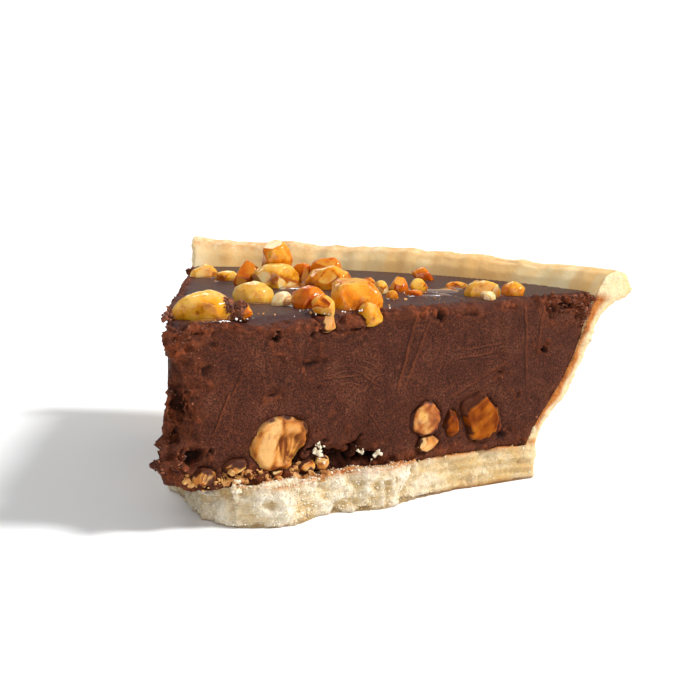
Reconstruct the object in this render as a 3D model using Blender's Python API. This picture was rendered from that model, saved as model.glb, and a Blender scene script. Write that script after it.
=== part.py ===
"""A sixth of a deep chocolate hazelnut pie: short crust, set chocolate filling, glazed chopped hazelnuts.

Slice coordinates have the pie's centre at their origin. The shown cut face lies along +X and faces -Y, and
the other cut face lies at the slice angle. Lengths below are in millimetres and become metres when built.
"""

import math

import bmesh
import bpy
from mathutils import Matrix, Vector, noise

MM = 0.001

# driving dimensions of the pie
SLICE_ANGLE = math.radians(60.0)
BASE_RADIUS = 89.3
CRUST_BASE = 8.0
FILLING_TOP = 39.4
RIM_TOP = 45.2
RIM_TILT = 1.1
RIM_SAG = 0.5
GAP = 0.3

# where the pie's centre lies, so that the part's box is centred over the world origin
APEX = Vector((-57.3, -47.6, 0.0))

# the crust starts here, because its thin tip has broken away
CRUST_TIP_RADIUS = 16.0
CRUST_BASE_COLUMNS = 19
CRUST_STEPS = 36
FLUTES = 12.5
FLUTE_DEPTH = 0.4

# the filling is raised in layers from one outline
LAYERS = 11
SIDE_POINTS = 41
ARC_POINTS = 20
TIP_POINTS = 5
TIP_RADIUS = 5.8
EDGE_ROUNDING = 0.9

# crust section, from the base's edge up the wall to the rim: radius and height, inside and outside
INNER_SECTION = [
    (86.6, 8.0), (87.6, 10.0), (89.8, 13.2), (93.2, 17.4), (96.2, 21.2), (98.9, 25.6),
    (101.5, 31.0), (103.5, 35.2), (105.2, 38.8), (106.6, 42.0), (108.6, 44.4), (111.2, 45.2),
]
OUTER_SECTION = [
    (89.3, 0.0), (89.3, 5.6), (90.2, 10.2), (93.8, 14.3), (97.8, 18.5), (101.3, 24.4),
    (103.9, 30.2), (106.6, 33.7), (109.7, 36.9), (113.8, 38.1), (115.2, 40.2), (114.2, 43.6),
]


def bump(x, centre, width):
    """A smooth hill, 1 at its centre and nearly 0 one and a half widths away."""
    return math.exp(-(((x - centre) / width) ** 2) * 2.0)


def rough(r, z, seed, size):
    """Smooth noise from -1 to 1 over a cut face, with features of the given size."""
    return noise.noise(Vector((r / size, z / size, seed * 7.31)))


def distance_to_line(r, z, start, end):
    """Distance of a point on a cut face from a straight knife mark."""
    point, a, b = Vector((r, z)), Vector(start), Vector(end)
    along = max(0.0, min(1.0, (point - a).dot(b - a) / (b - a).length_squared))
    return (point - a.lerp(b, along)).length


# ---------------------------------------------------------------- relief of the cut faces

SHOWN_FACE = {
    "seed": 1.0,
    # knife drags: start and end (radius, height), width, depth
    "drags": [((57.5, 37.5), (51.5, 23.0), 1.9, 0.75), ((79.8, 38.8), (81.0, 20.0), 1.6, 0.6),
              ((84.6, 38.0), (84.0, 28.0), 1.4, 0.4)],
    # hollows: radius, height, half width, half height, depth
    "hollows": [(41.5, 9.6, 8.0, 2.4, 3.6), (77.5, 10.6, 4.0, 2.4, 2.0), (96.0, 37.4, 4.2, 2.4, 2.2),
                (8.0, 16.0, 3.2, 3.0, 2.0), (6.0, 27.0, 2.6, 5.5, 1.3), (103.0, 33.6, 2.2, 2.6, 1.6)],
    # stretches where the top edge has broken away: radius, half width, depth
    "broken_edge": [(37.0, 8.5, 3.6), (14.0, 7.0, 2.0), (61.0, 3.0, 1.0), (98.0, 6.0, 2.2)],
}
HIDDEN_FACE = {
    "seed": 5.0,
    "drags": [((34.0, 37.0), (30.0, 20.0), 1.8, 0.7), ((66.0, 38.0), (69.0, 24.0), 1.7, 0.6)],
    "hollows": [(8.0, 32.0, 24.0, 14.0, 2.6), (48.0, 9.8, 6.5, 2.2, 2.8),
                (88.0, 36.8, 4.0, 2.4, 2.0), (12.0, 20.0, 3.0, 4.0, 1.5)],
    "broken_edge": [(8.0, 18.0, 1.9), (24.0, 7.0, 2.4), (55.0, 6.0, 2.0), (93.0, 6.0, 1.8)],
}


def face_offset(face, r, z):
    """How far the chocolate stands out of its cut plane, in millimetres."""
    seed = face["seed"]
    out = 0.7 * rough(r, z, seed, 17.0) + 0.35 * rough(r, z, seed + 2, 4.2)
    crumbly = bump(r, 2.0, 11.0) + bump(z, FILLING_TOP, 3.0) + bump(z, CRUST_BASE, 3.0)
    out += 0.65 * min(1.0, crumbly) * rough(r, z, seed + 4, 2.6)
    for start, end, width, depth in face["drags"]:
        gap = distance_to_line(r, z, start, end)
        out -= depth * bump(gap, 0.0, width)
        out += 0.45 * depth * bump(gap, 1.5 * width, 0.8 * width)
    for centre, height, half_width, half_height, depth in face["hollows"]:
        reach = math.hypot((r - centre) / half_width, (z - height) / half_height)
        out -= depth * bump(reach, 0.0, 1.0)
    return out


def edge_inset(face, r):
    """How far the flat top stops short of the cut plane, where the edge has crumbled."""
    inset = EDGE_ROUNDING + 0.5 * rough(r, 0.0, face["seed"] + 6, 3.0)
    for centre, half_width, depth in face["broken_edge"]:
        inset += depth * bump(r, centre, half_width)
    return max(0.4, inset)


def section_radius(section, z):
    """Radius of a crust section at a height, between its listed points."""
    for (r0, z0), (r1, z1) in zip(section, section[1:]):
        if z0 <= z <= z1:
            return r0 + (r1 - r0) * (z - z0) / (z1 - z0)
    return section[0][0] if z < section[0][1] else section[-1][0]


def tip_start(z):
    """Where the cut faces begin. The tip is blunt, and broken back where it meets the crust."""
    return TIP_RADIUS + 5.0 * bump(z, 7.5, 3.5)


def tip_swell(z):
    """The torn chunk that hangs off the tip, and the waist above it."""
    return 4.4 * bump(z, 14.2, 3.4) - 2.6 * bump(z, 25.0, 9.0) + 0.4 * bump(z, 37.0, 5.0)


def filling_outline(z, inset_top):
    """Points round the filling at one height: shown face, back arc, hidden face, tip."""
    wall = section_radius(INNER_SECTION, z) - GAP - 0.1
    points = []
    for face, is_shown in ((SHOWN_FACE, True), (HIDDEN_FACE, False)):
        side = []
        for k in range(SIDE_POINTS):
            # a little closer together near the tip, where the relief is rougher
            share = (k / (SIDE_POINTS - 1)) ** 1.08
            r = tip_start(z) + (wall - tip_start(z)) * share
            out = -edge_inset(face, r) if inset_top else face_offset(face, r, z)
            out *= 1.0 if k < SIDE_POINTS - 1 else 0.4
            side.append(Vector((r, -out)) if is_shown else Vector((r, out)))
        if not is_shown:
            turn = Matrix.Rotation(SLICE_ANGLE, 2)
            side = [turn @ p for p in reversed(side)]
        points.append(side)
    start, end = points[0][-1], points[1][0]
    a0, a1 = math.atan2(start.y, start.x), math.atan2(end.y, end.x)
    arc = []
    for k in range(1, ARC_POINTS):
        a = a0 + (a1 - a0) * k / ARC_POINTS
        arc.append(Vector((wall * math.cos(a), wall * math.sin(a))))
    tip = []
    away = Vector((-math.cos(SLICE_ANGLE / 2 - 0.25), -math.sin(SLICE_ANGLE / 2 - 0.25)))
    for k in range(1, TIP_POINTS + 1):
        share = k / (TIP_POINTS + 1)
        along = points[1][-1].lerp(points[0][0], share)
        crown = math.sin(share * math.pi)
        swell = (0.6 + tip_swell(z)) * (0.25 if inset_top else 1.0)
        tip.append(along + away * crown * (swell + 0.9 * rough(share * 9, z, 11.0, 2.4)))
    return points[0] + arc + points[1] + tip


# ---------------------------------------------------------------- objects and materials

def clear_scene():
    for old in list(bpy.data.objects):
        bpy.data.objects.remove(old)


def new_collection(name):
    collection = bpy.data.collections.new(name)
    bpy.context.scene.collection.children.link(collection)
    return collection


def make_material(name, colour, roughness):
    material = bpy.data.materials.new(name)
    material.use_nodes = True
    shader = material.node_tree.nodes["Principled BSDF"]
    shader.inputs["Base Color"].default_value = (*colour, 1.0)
    shader.inputs["Roughness"].default_value = roughness
    shader.inputs["Metallic"].default_value = 0.0
    return material


def add_object(name, bm, material, collection, parent):
    bmesh.ops.recalc_face_normals(bm, faces=bm.faces)
    mesh = bpy.data.meshes.new(name)
    bm.to_mesh(mesh)
    bm.free()
    mesh.materials.append(material)
    made = bpy.data.objects.new(name, mesh)
    collection.objects.link(made)
    made.parent = parent
    return made


def extrude_once(bm, faces, is_first):
    """Extrudes a face region in place and returns the new region. Only the first one stays, as an end cap."""
    made = bmesh.ops.extrude_face_region(bm, geom=faces)
    if not is_first:
        bmesh.ops.delete(bm, geom=faces, context="FACES")
    return [g for g in made["geom"] if isinstance(g, bmesh.types.BMFace)]


# ---------------------------------------------------------------- filling

def make_filling(material, collection, parent):
    """Raises the plan outline in layers, each with its own relief, and closes it with a flat top."""
    bottom = CRUST_BASE + GAP
    heights = [bottom + (FILLING_TOP - 0.7 - bottom) * k / (LAYERS - 1) for k in range(LAYERS)]
    outlines = [(filling_outline(z, False), z) for z in heights]
    outlines.append((filling_outline(FILLING_TOP, True), FILLING_TOP))
    bm = bmesh.new()
    order = bm.verts.layers.int.new("order")
    ring, z = outlines[0]
    for number, point in enumerate(ring):
        vert = bm.verts.new((point.x * MM, point.y * MM, z * MM))
        vert[order] = number
    faces = [bm.faces.new(bm.verts)]
    for number, (ring, z) in enumerate(outlines[1:]):
        faces = extrude_once(bm, faces, number == 0)
        for vert in faces[0].verts:
            point = ring[vert[order]]
            vert.co = (point.x * MM, point.y * MM, z * MM)
    return add_object("filling", bm, material, collection, parent)


# ---------------------------------------------------------------- crust

def crust_front(r, row, seed):
    """How far the crust's cut stands out of the cut plane. It snaps unevenly and doesn't cut clean."""
    out = 0.8 * rough(r, row * 4.0, seed, 6.0) + 0.5 * rough(r, row * 4.0, seed + 3, 2.7)
    if seed < 10.0:
        out += 4.4 * bump(r, 26.0, 10.0) + 3.4 * bump(r, 47.0, 10.0) - 0.8 * bump(r, 75.0, 16.0)
    else:
        out += 1.6 * bump(r, 40.0, 8.0) - 1.5 * bump(r, 66.0, 12.0) - 8.5 * bump(r, 10.0, 26.0)
    wall_calm = 0.45 if r > BASE_RADIUS else 1.0
    return out * wall_calm


def crust_section():
    """Columns of the section, each an inside, middle and outside point, from the tip to the rim."""
    columns = []
    for k in range(CRUST_BASE_COLUMNS):
        r = CRUST_TIP_RADIUS + (INNER_SECTION[0][0] - 3.5 - CRUST_TIP_RADIUS) * k / (CRUST_BASE_COLUMNS - 1)
        columns.append(((r, CRUST_BASE), (r, 0.0)))
    columns += list(zip(INNER_SECTION, OUTER_SECTION))
    rows = []
    for inside, outside in columns:
        middle = ((inside[0] + outside[0]) / 2, (inside[1] + outside[1]) / 2)
        rows.append((inside, middle, outside))
    return rows


def crust_point(column, row, share, section):
    """One vertex of the crust, at a share of the way round from the shown cut to the hidden one."""
    r, z = section[column][row]
    a0 = -crust_front(r, row, 2.0) / r
    a1 = SLICE_ANGLE + crust_front(r, row, 12.0) / r
    angle = a0 + (a1 - a0) * share
    if column == 0:
        r += 1.6 * noise.noise(Vector((share * 3.0, row * 0.8, 3.0)))
    rim = max(0.0, (z - FILLING_TOP + 2.0) / (RIM_TOP - FILLING_TOP + 2.0))
    if rim > 0.0:
        wave = math.sin(FLUTES * 2 * math.pi * share + 1.4 * math.sin(9.0 * share))
        r += rim * FLUTE_DEPTH * wave
        z += rim * (RIM_TILT * (2 * share - 1) - RIM_SAG * math.sin(math.pi * share))
        z += rim * (0.12 * wave + 0.4 * noise.noise(Vector((share * 9.0, 0.0, 8.0))))
    elif column >= CRUST_BASE_COLUMNS and row == 2 and z > 1.0:
        r += 0.35 * noise.noise(Vector((share * 22.0, z / 5.0, 4.0)))
    return (r * math.cos(angle) * MM, r * math.sin(angle) * MM, z * MM)


def make_crust(material, collection, parent):
    """Turns the section round the pie's centre, then merges the flat faces of the base."""
    section = crust_section()
    bm = bmesh.new()
    column_of = bm.verts.layers.int.new("column")
    row_of = bm.verts.layers.int.new("row")
    grid = []
    for column in range(len(section)):
        grid.append([])
        for row in range(3):
            vert = bm.verts.new(crust_point(column, row, 0.0, section))
            vert[column_of], vert[row_of] = column, row
            grid[-1].append(vert)
    faces = []
    for near, far in zip(grid, grid[1:]):
        for row in range(2):
            faces.append(bm.faces.new((near[row], near[row + 1], far[row + 1], far[row])))
    for step in range(1, CRUST_STEPS + 1):
        faces = extrude_once(bm, faces, step == 1)
        for vert in {v for face in faces for v in face.verts}:
            vert.co = crust_point(vert[column_of], vert[row_of], step / CRUST_STEPS, section)
    bmesh.ops.dissolve_limit(
        bm, angle_limit=math.radians(0.6), use_dissolve_boundaries=False,
        verts=bm.verts, edges=bm.edges, delimit=set(),
    )
    return add_object("crust", bm, material, collection, parent)


# ---------------------------------------------------------------- hazelnuts

# name, centre (x, y), height of the centre over the top, size (wide, deep, high), turn in degrees, chops
TOP_NUTS = [
    ("nut_tip", (13.8, 7.6), 0.7, (12.4, 9.2, 9.0), -32, 2),
    ("nut_tip_half", (19.6, 3.2), 0.6, (5.6, 4.4, 5.4), -50, 2),
    ("nut_glossy", (33.8, 24.8), 0.9, (8.6, 7.0, 6.2), -40, 1),
    ("nut_glossy_chip", (36.3, 17.0), 0.5, (5.2, 4.4, 4.2), 20, 3),
    ("nut_back_base", (50.2, 44.4), 1.4, (11.0, 8.6, 7.4), -32, 1),
    ("nut_back_left", (46.2, 50.6), 1.6, (6.8, 6.0, 7.0), 10, 2),
    ("nut_back_right", (58.4, 46.2), 1.5, (6.4, 5.6, 6.2), -50, 2),
    ("nut_back_peak", (52.6, 49.2), 5.4, (8.8, 7.6, 9.2), -15, 2),
    ("nut_middle", (39.1, 11.4), 0.9, (7.2, 6.4, 6.6), -45, 1),
    ("nut_large", (46.4, 6.4), 1.4, (11.8, 8.8, 9.2), -32, 3),
    ("nut_edge_chip", (37.0, 2.4), 0.9, (5.4, 4.0, 5.6), -60, 3),
    ("nut_large_chip", (46.8, 0.6), -0.3, (5.4, 3.8, 3.8), -20, 3),
    ("nut_far_low", (59.4, 35.4), 1.0, (12.2, 8.0, 7.0), -32, 1),
    ("nut_far_top", (62.4, 42.6), 3.2, (7.4, 5.6, 6.2), -32, 2),
    ("nut_far_chip", (68.0, 34.4), 0.4, (3.6, 3.2, 3.4), 0, 2),
    ("nut_cluster_left", (63.6, 22.8), 0.7, (4.4, 3.8, 4.0), 15, 2),
    ("nut_cluster_middle", (68.6, 23.4), 0.8, (4.8, 4.4, 4.4), -32, 1),
    ("nut_cluster_right", (73.2, 21.6), 0.6, (4.6, 4.2, 4.2), 40, 3),
    ("nut_cluster_small", (60.2, 13.0), 0.5, (2.8, 2.6, 2.8), 0, 2),
    ("nut_amber_flat", (67.8, 15.6), 0.1, (5.0, 3.4, 2.4), -25, 2),
    ("nut_back_small", (86.0, 38.6), 0.8, (5.6, 4.4, 4.2), -32, 2),
    ("nut_film_chip", (84.0, 22.6), 0.2, (5.4, 3.6, 2.4), -32, 2),
    ("nut_arch", (80.4, 8.0), 0.7, (9.2, 5.6, 5.4), -36, 2),
    ("nut_arch_chip", (77.8, 3.2), 0.2, (3.6, 3.0, 3.2), -10, 3),
    ("nut_amber", (87.0, 6.4), 0.5, (5.4, 4.4, 4.2), -28, 1),
    ("nut_corner_slice", (44.8, 68.6), 0.6, (6.8, 4.6, 4.4), -20, 2),
    ("nut_corner_flat", (45.6, 59.6), 0.5, (7.0, 4.2, 3.2), -30, 2),
]

# name, place on the cut face (radius, height), depth of the centre behind it, size, turn, chops
SHOWN_NUTS = [
    ("nut_cut_large", (26.2, 15.2), 1.6, (12.8, 9.0, 10.6), -16, 0),
    ("nut_cut_skin", (60.2, 16.3), 1.4, (8.2, 6.4, 7.6), 10, 3),
    ("nut_cut_skin_low", (60.6, 11.1), 1.0, (5.8, 4.4, 3.4), -8, 2),
    ("nut_cut_sliver", (66.8, 14.9), 1.3, (4.2, 4.6, 6.0), -4, 3),
    ("nut_cut_amber", (74.0, 15.2), 1.4, (9.2, 8.0, 10.8), -50, 2),
    ("nut_cut_edge", (36.8, 38.0), 0.9, (4.4, 4.0, 4.6), 15, 2),
    ("nut_cut_chip_left", (32.0, 10.2), 0.7, (3.6, 3.6, 3.4), -40, 2),
    ("nut_cut_chip_right", (35.4, 10.3), 0.8, (3.4, 3.6, 3.6), -30, 2),
    ("nut_cut_chip_middle", (25.4, 10.0), 0.9, (3.4, 3.2, 2.8), 14, 1),
    ("nut_cut_bit_a", (16.2, 11.8), 0.6, (5.4, 3.6, 2.8), -14, 2),
    ("nut_cut_bit_b", (10.0, 10.7), 0.8, (5.2, 3.8, 3.2), 6, 2),
]
HIDDEN_NUTS = [
    ("nut_rear_large", (33.0, 15.0), 1.6, (11.0, 8.0, 10.0), -8, 1),
    ("nut_rear_round", (70.0, 16.2), 1.4, (9.2, 7.4, 8.8), 12, 2),
    ("nut_rear_chip", (57.0, 12.0), 1.0, (6.2, 5.0, 5.0), 0, 2),
]
# the knife leaves the nuts it cuts through standing this far out of the cut plane
CUT_NUT_PROUD = 0.5
# nuts nearer than this to the shown edge hang into it, and get a pocket
EDGE_NUT_REACH = 2.0
LARGE_NUT = 9.9


def nut_mesh(seed, size, chops, grow, detail):
    """A knobbly kernel, chopped flat on some sides. grow makes the wider copy that cuts its pocket."""
    bm = bmesh.new()
    bmesh.ops.create_icosphere(bm, subdivisions=detail, radius=0.5)
    for vert in bm.verts:
        p = vert.co.copy()
        lump = 1.0 + 0.13 * noise.noise(p * 3.2 + Vector((seed * 3.7, 0, 0)))
        lump += 0.06 * noise.noise(p * 8.0 + Vector((0, seed * 2.9, 0)))
        vert.co = p * lump
    for k in range(chops):
        # each chop takes a cap off, in a direction that differs from nut to nut
        angle = seed * 2.4 + k * 2.1
        slope = 0.3 + 0.5 * math.sin(seed * 1.9 + k * 2.7)
        normal = Vector((math.cos(angle), math.sin(angle), slope)).normalized()
        reach = 0.33 + 0.05 * math.sin(seed * 5.1 + k)
        cut = bmesh.ops.bisect_plane(
            bm, geom=bm.verts[:] + bm.edges[:] + bm.faces[:],
            plane_co=normal * reach, plane_no=normal, clear_outer=True,
        )
        rim = [g for g in cut["geom_cut"] if isinstance(g, bmesh.types.BMEdge)]
        bmesh.ops.holes_fill(bm, edges=rim, sides=0)
    for vert in bm.verts:
        vert.co = Vector([vert.co[i] * (size[i] + 2 * grow) for i in range(3)]) * MM
    return bm


def place_nut(made, place, turn_z, turn_y):
    made.location = [c * MM for c in place]
    made.rotation_euler = (0.0, math.radians(turn_y), turn_z)
    return made


def make_nut(row, number, place, turns, materials, collections, parent):
    """The nut itself, and the hidden, slightly larger copy that cuts the pocket it sits in."""
    name, _, _, size, _, chops = row
    seed = number + 1
    detail = 3 if max(size) > LARGE_NUT else 2
    nut = add_object(name, nut_mesh(seed, size, chops, 0.0, detail),
                     materials["nut"], collections["pie"], parent)
    place_nut(nut, place, *turns)
    pocket = add_object("pocket_" + name, nut_mesh(seed, size, chops, GAP + 0.15, detail),
                        materials["nut"], collections["cutters"], parent)
    place_nut(pocket, place, *turns)
    pocket.hide_render = True
    pocket.display_type = "WIRE"
    return nut, pocket, nut.location.copy(), max(size) / 2 * MM


def slice_off(nut, point, normal):
    """Cuts a nut flat at a plane of the pie, and keeps the side that the normal points away from."""
    bm = bmesh.new()
    bm.from_mesh(nut.data)
    placed = Matrix.Translation(nut.location) @ nut.rotation_euler.to_matrix().to_4x4()
    local_normal = placed.to_3x3().inverted() @ Vector(normal)
    cut = bmesh.ops.bisect_plane(
        bm, geom=bm.verts[:] + bm.edges[:] + bm.faces[:],
        plane_co=placed.inverted() @ (Vector(point) * MM), plane_no=local_normal, clear_outer=True,
    )
    rim = [g for g in cut["geom_cut"] if isinstance(g, bmesh.types.BMEdge)]
    bmesh.ops.holes_fill(bm, edges=rim, sides=0)
    bm.to_mesh(nut.data)
    bm.free()


def cut_with(target, cutter):
    modifier = target.modifiers.new(cutter.name, "BOOLEAN")
    modifier.operation = "DIFFERENCE"
    modifier.solver = "EXACT"
    modifier.object = cutter


def make_nuts(materials, collections, parent):
    """Every nut piece, placed on the top or in a cut face."""
    made = []
    for row in TOP_NUTS:
        (x, y), lift, turn = row[1], row[2], math.radians(row[4])
        place = (x, y, FILLING_TOP + lift)
        made.append(make_nut(row, len(made), place, (turn, 0.0), materials, collections, parent))
    for row in SHOWN_NUTS:
        (r, z), depth = row[1], row[2]
        made.append(make_nut(row, len(made), (r, depth, z), (0.0, row[4]), materials, collections, parent))
        slice_off(made[-1][0], (0.0, -CUT_NUT_PROUD, 0.0), (0.0, -1.0, 0.0))
    for row in HIDDEN_NUTS:
        (r, z), depth = row[1], row[2]
        x = r * math.cos(SLICE_ANGLE) + depth * math.sin(SLICE_ANGLE)
        y = r * math.sin(SLICE_ANGLE) - depth * math.cos(SLICE_ANGLE)
        turns = (SLICE_ANGLE, row[4])
        made.append(make_nut(row, len(made), (x, y, z), turns, materials, collections, parent))
        outward = Vector((-math.sin(SLICE_ANGLE), math.cos(SLICE_ANGLE), 0.0))
        slice_off(made[-1][0], outward * CUT_NUT_PROUD, outward)
    return made


def fit_together(filling, nuts):
    """Levels the nuts that lie on top, cuts pockets for the rest, and clears each nut of those before it."""
    for number, (nut, pocket, centre, reach) in enumerate(nuts):
        if centre.z > FILLING_TOP * MM and centre.y > EDGE_NUT_REACH * MM:
            slice_off(nut, (0.0, 0.0, FILLING_TOP + GAP), (0.0, 0.0, -1.0))
        else:
            cut_with(filling, pocket)
        for _, other_pocket, other_centre, other_reach in nuts[:number]:
            if (centre - other_centre).length < reach + other_reach:
                cut_with(nut, other_pocket)


def main():
    clear_scene()
    collections = {"pie": new_collection("chocolate_hazelnut_pie"), "cutters": new_collection("cutters")}
    materials = {
        "crust": make_material("short_crust", (0.80, 0.58, 0.30), 0.75),
        "chocolate": make_material("set_chocolate", (0.085, 0.032, 0.020), 0.45),
        "nut": make_material("glazed_hazelnut", (0.72, 0.38, 0.09), 0.3),
    }
    centre = bpy.data.objects.new("pie_centre", None)
    centre.location = APEX * MM
    collections["pie"].objects.link(centre)
    make_crust(materials["crust"], collections["pie"], centre)
    filling = make_filling(materials["chocolate"], collections["pie"], centre)
    nuts = make_nuts(materials, collections, centre)
    fit_together(filling, nuts)


main()
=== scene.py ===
import math
import random

import bmesh
import bpy
import numpy as np
from mathutils import Matrix, Vector


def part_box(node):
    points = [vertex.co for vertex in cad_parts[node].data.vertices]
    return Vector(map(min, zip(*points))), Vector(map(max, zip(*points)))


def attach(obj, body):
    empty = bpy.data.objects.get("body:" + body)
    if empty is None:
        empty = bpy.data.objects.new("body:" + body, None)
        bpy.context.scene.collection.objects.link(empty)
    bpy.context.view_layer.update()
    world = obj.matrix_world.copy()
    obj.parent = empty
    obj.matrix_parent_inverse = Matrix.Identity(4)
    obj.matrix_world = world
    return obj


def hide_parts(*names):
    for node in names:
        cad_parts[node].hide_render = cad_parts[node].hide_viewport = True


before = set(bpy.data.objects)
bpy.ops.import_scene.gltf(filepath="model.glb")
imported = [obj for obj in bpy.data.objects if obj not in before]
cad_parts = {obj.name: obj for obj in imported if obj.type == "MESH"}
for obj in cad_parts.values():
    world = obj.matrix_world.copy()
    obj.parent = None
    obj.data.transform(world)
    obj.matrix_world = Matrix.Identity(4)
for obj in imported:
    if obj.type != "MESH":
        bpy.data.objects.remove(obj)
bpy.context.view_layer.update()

mm = 0.001
pieCentre = np.array((-0.0573, -0.0476, 0.0))  # where the whole pie's centre would be
sliceAngle = math.radians(60)
fillingTop = 39.4  # millimetres, like every length in slice coordinates
crustTop = 8.0
cosB, sinB = math.cos(sliceAngle), math.sin(sliceAngle)


# ---- working in slice coordinates: millimetres from the pie's centre, shown face along +X

def toSlice(points):
    return (points - pieCentre) / mm


def fromSlice(points):
    return points * mm + pieCentre


def cellRandom(cells, seed):
    # a repeatable random number from 0 to 1 for each whole-number cell
    n = (cells[..., 0] * 73856093) ^ (cells[..., 1] * 19349663) ^ (cells[..., 2] * 83492791) ^ (seed * 2654435761)
    n &= 0xFFFFFFFF
    for _ in range(2):
        n = ((n ^ (n >> 16)) * 0x45D9F3B) & 0xFFFFFFFF
    return ((n ^ (n >> 16)) & 0xFFFFFF) / 0x1000000


def softNoise(points, size, seed):
    # smooth noise from -1 to 1
    q = points / size + seed * 0.37
    cell = np.floor(q).astype(np.int64)
    f = q - cell
    f = f * f * (3 - 2 * f)
    total = np.zeros(len(points))
    for corner in np.ndindex(2, 2, 2):
        weight = np.prod(np.where(np.array(corner) == 1, f, 1 - f), axis=1)
        total += weight * cellRandom(cell + np.array(corner), seed)
    return total * 2 - 1


def lumpNoise(points, size, seed):
    # 1 at the middle of each random grain and 0 in the cracks between them
    q = points / size
    cell = np.floor(q).astype(np.int64)
    nearest = np.full(len(points), 9.0)
    for step in np.ndindex(3, 3, 3):
        home = cell + np.array(step) - 1
        spot = home + np.stack([cellRandom(home, seed + k) for k in (0, 11, 23)], axis=1)
        nearest = np.minimum(nearest, np.sum((q - spot) ** 2, axis=1))
    return 1 - np.clip(np.sqrt(nearest), 0, 1)


def tornNoise(points, size, seed):
    # sharp ridges with hollows between them, from -1 to 1
    return 1 - 2.6 * np.abs(softNoise(points, size, seed)) + 0.3 * softNoise(points, size * 0.5, seed + 1)


def hill(x, centre, width):
    return np.exp(-2 * ((x - centre) / width) ** 2)


def ramp(x, low, high):
    t = np.clip((x - low) / (high - low), 0, 1)
    return t * t * (3 - 2 * t)


def lineDistance(r, z, start, end):
    # distance from a straight mark on a cut face
    ax, az = start
    dx, dz = end[0] - ax, end[1] - az
    t = np.clip(((r - ax) * dx + (z - az) * dz) / (dx * dx + dz * dz), 0, 1)
    return np.hypot(r - ax - t * dx, z - az - t * dz)


# ---- objects

def deselectAll():
    for thing in list(bpy.context.selected_objects):
        thing.select_set(False)


def makeActive(piece):
    deselectAll()
    piece.select_set(True)
    bpy.context.view_layer.objects.active = piece


def editMesh(piece, work):
    # runs edit-mode operators on the whole mesh
    makeActive(piece)
    bpy.ops.object.mode_set(mode="EDIT")
    bpy.ops.mesh.select_all(action="SELECT")
    work()
    bpy.ops.object.mode_set(mode="OBJECT")


def applyModifier(piece, kind, **settings):
    modifier = piece.modifiers.new(kind.lower(), kind)
    for name, value in settings.items():
        setattr(modifier, name, value)
    makeActive(piece)
    bpy.ops.object.modifier_apply(modifier=modifier.name)


def copyOfNode(nodeName, name):
    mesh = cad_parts[nodeName].data.copy()
    mesh.materials.clear()
    piece = bpy.data.objects.new(name, mesh)
    bpy.context.scene.collection.objects.link(piece)
    editMesh(piece, lambda: bpy.ops.mesh.remove_doubles(threshold=0.000004))
    return piece


def refine(piece, voxel, rounds):
    # even, fine faces over the solid's form, with its facets eased
    applyModifier(piece, "REMESH", mode="VOXEL", voxel_size=voxel)
    applyModifier(piece, "SMOOTH", factor=0.5, iterations=rounds)


def readPoints(piece):
    flat = np.empty(len(piece.data.vertices) * 3)
    piece.data.vertices.foreach_get("co", flat)
    return flat.reshape(-1, 3)


def readNormals(piece):
    flat = np.empty(len(piece.data.vertices) * 3)
    piece.data.vertices.foreach_get("normal", flat)
    return flat.reshape(-1, 3)


def writePoints(piece, points):
    piece.data.vertices.foreach_set("co", points.ravel())
    piece.data.update()


def paint(piece, name, values):
    layer = piece.data.attributes.new(name, "FLOAT", "POINT")
    layer.data.foreach_set("value", np.clip(values, 0, 1).astype(np.float32))


def smoothShade(piece):
    makeActive(piece)
    bpy.ops.object.shade_smooth()


def finishPiece(piece, material, slotName, *nodes):
    piece.data.materials.clear()
    piece.data.materials.append(material)
    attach(piece, "root")
    if nodes:
        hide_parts(*nodes)


# ---- materials

def startMaterial(name, **sockets):
    material = bpy.data.materials.new(name)
    material.use_nodes = True
    shader = material.node_tree.nodes["Principled BSDF"]
    for socket, value in sockets.items():
        shader.inputs[socket.replace("_", " ")].default_value = value
    return material, material.node_tree, shader


def addNode(tree, kind, **settings):
    node = tree.nodes.new(kind)
    for name, value in settings.items():
        if name in node.inputs:
            node.inputs[name].default_value = value
        else:
            setattr(node, name, value)
    return node


def noiseNode(tree, size, detail=4.0, roughness=0.55, distortion=0.0, stretch=None):
    # size is the width of one feature in metres
    place = addNode(tree, "ShaderNodeTexCoord").outputs["Object"]
    if stretch:
        mapping = addNode(tree, "ShaderNodeMapping", Scale=stretch)
        tree.links.new(place, mapping.inputs["Vector"])
        place = mapping.outputs["Vector"]
    node = addNode(tree, "ShaderNodeTexNoise", Scale=1 / size, Detail=detail, Roughness=roughness,
                   Distortion=distortion)
    tree.links.new(place, node.inputs["Vector"])
    return node.outputs["Fac"]


def rampNode(tree, factor, stops):
    node = tree.nodes.new("ShaderNodeValToRGB")
    elements = node.color_ramp.elements
    while len(elements) < len(stops):
        elements.new(0.5)
    for element, (place, colour) in zip(elements, stops):
        element.position = place
        element.color = (*colour, 1) if len(colour) == 3 else colour
    tree.links.new(factor, node.inputs["Fac"])
    return node.outputs["Color"]


def grey(value):
    return (value, value, value)


def mixColour(tree, factor, first, second, blend="MIX"):
    node = tree.nodes.new("ShaderNodeMix")
    node.data_type = "RGBA"
    node.blend_type = blend
    for socket, value in ((node.inputs[0], factor), (node.inputs[6], first), (node.inputs[7], second)):
        if isinstance(value, bpy.types.NodeSocket):
            tree.links.new(value, socket)
        elif isinstance(value, tuple):
            socket.default_value = (*value, 1)
        else:
            socket.default_value = value
    return node.outputs[2]


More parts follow.
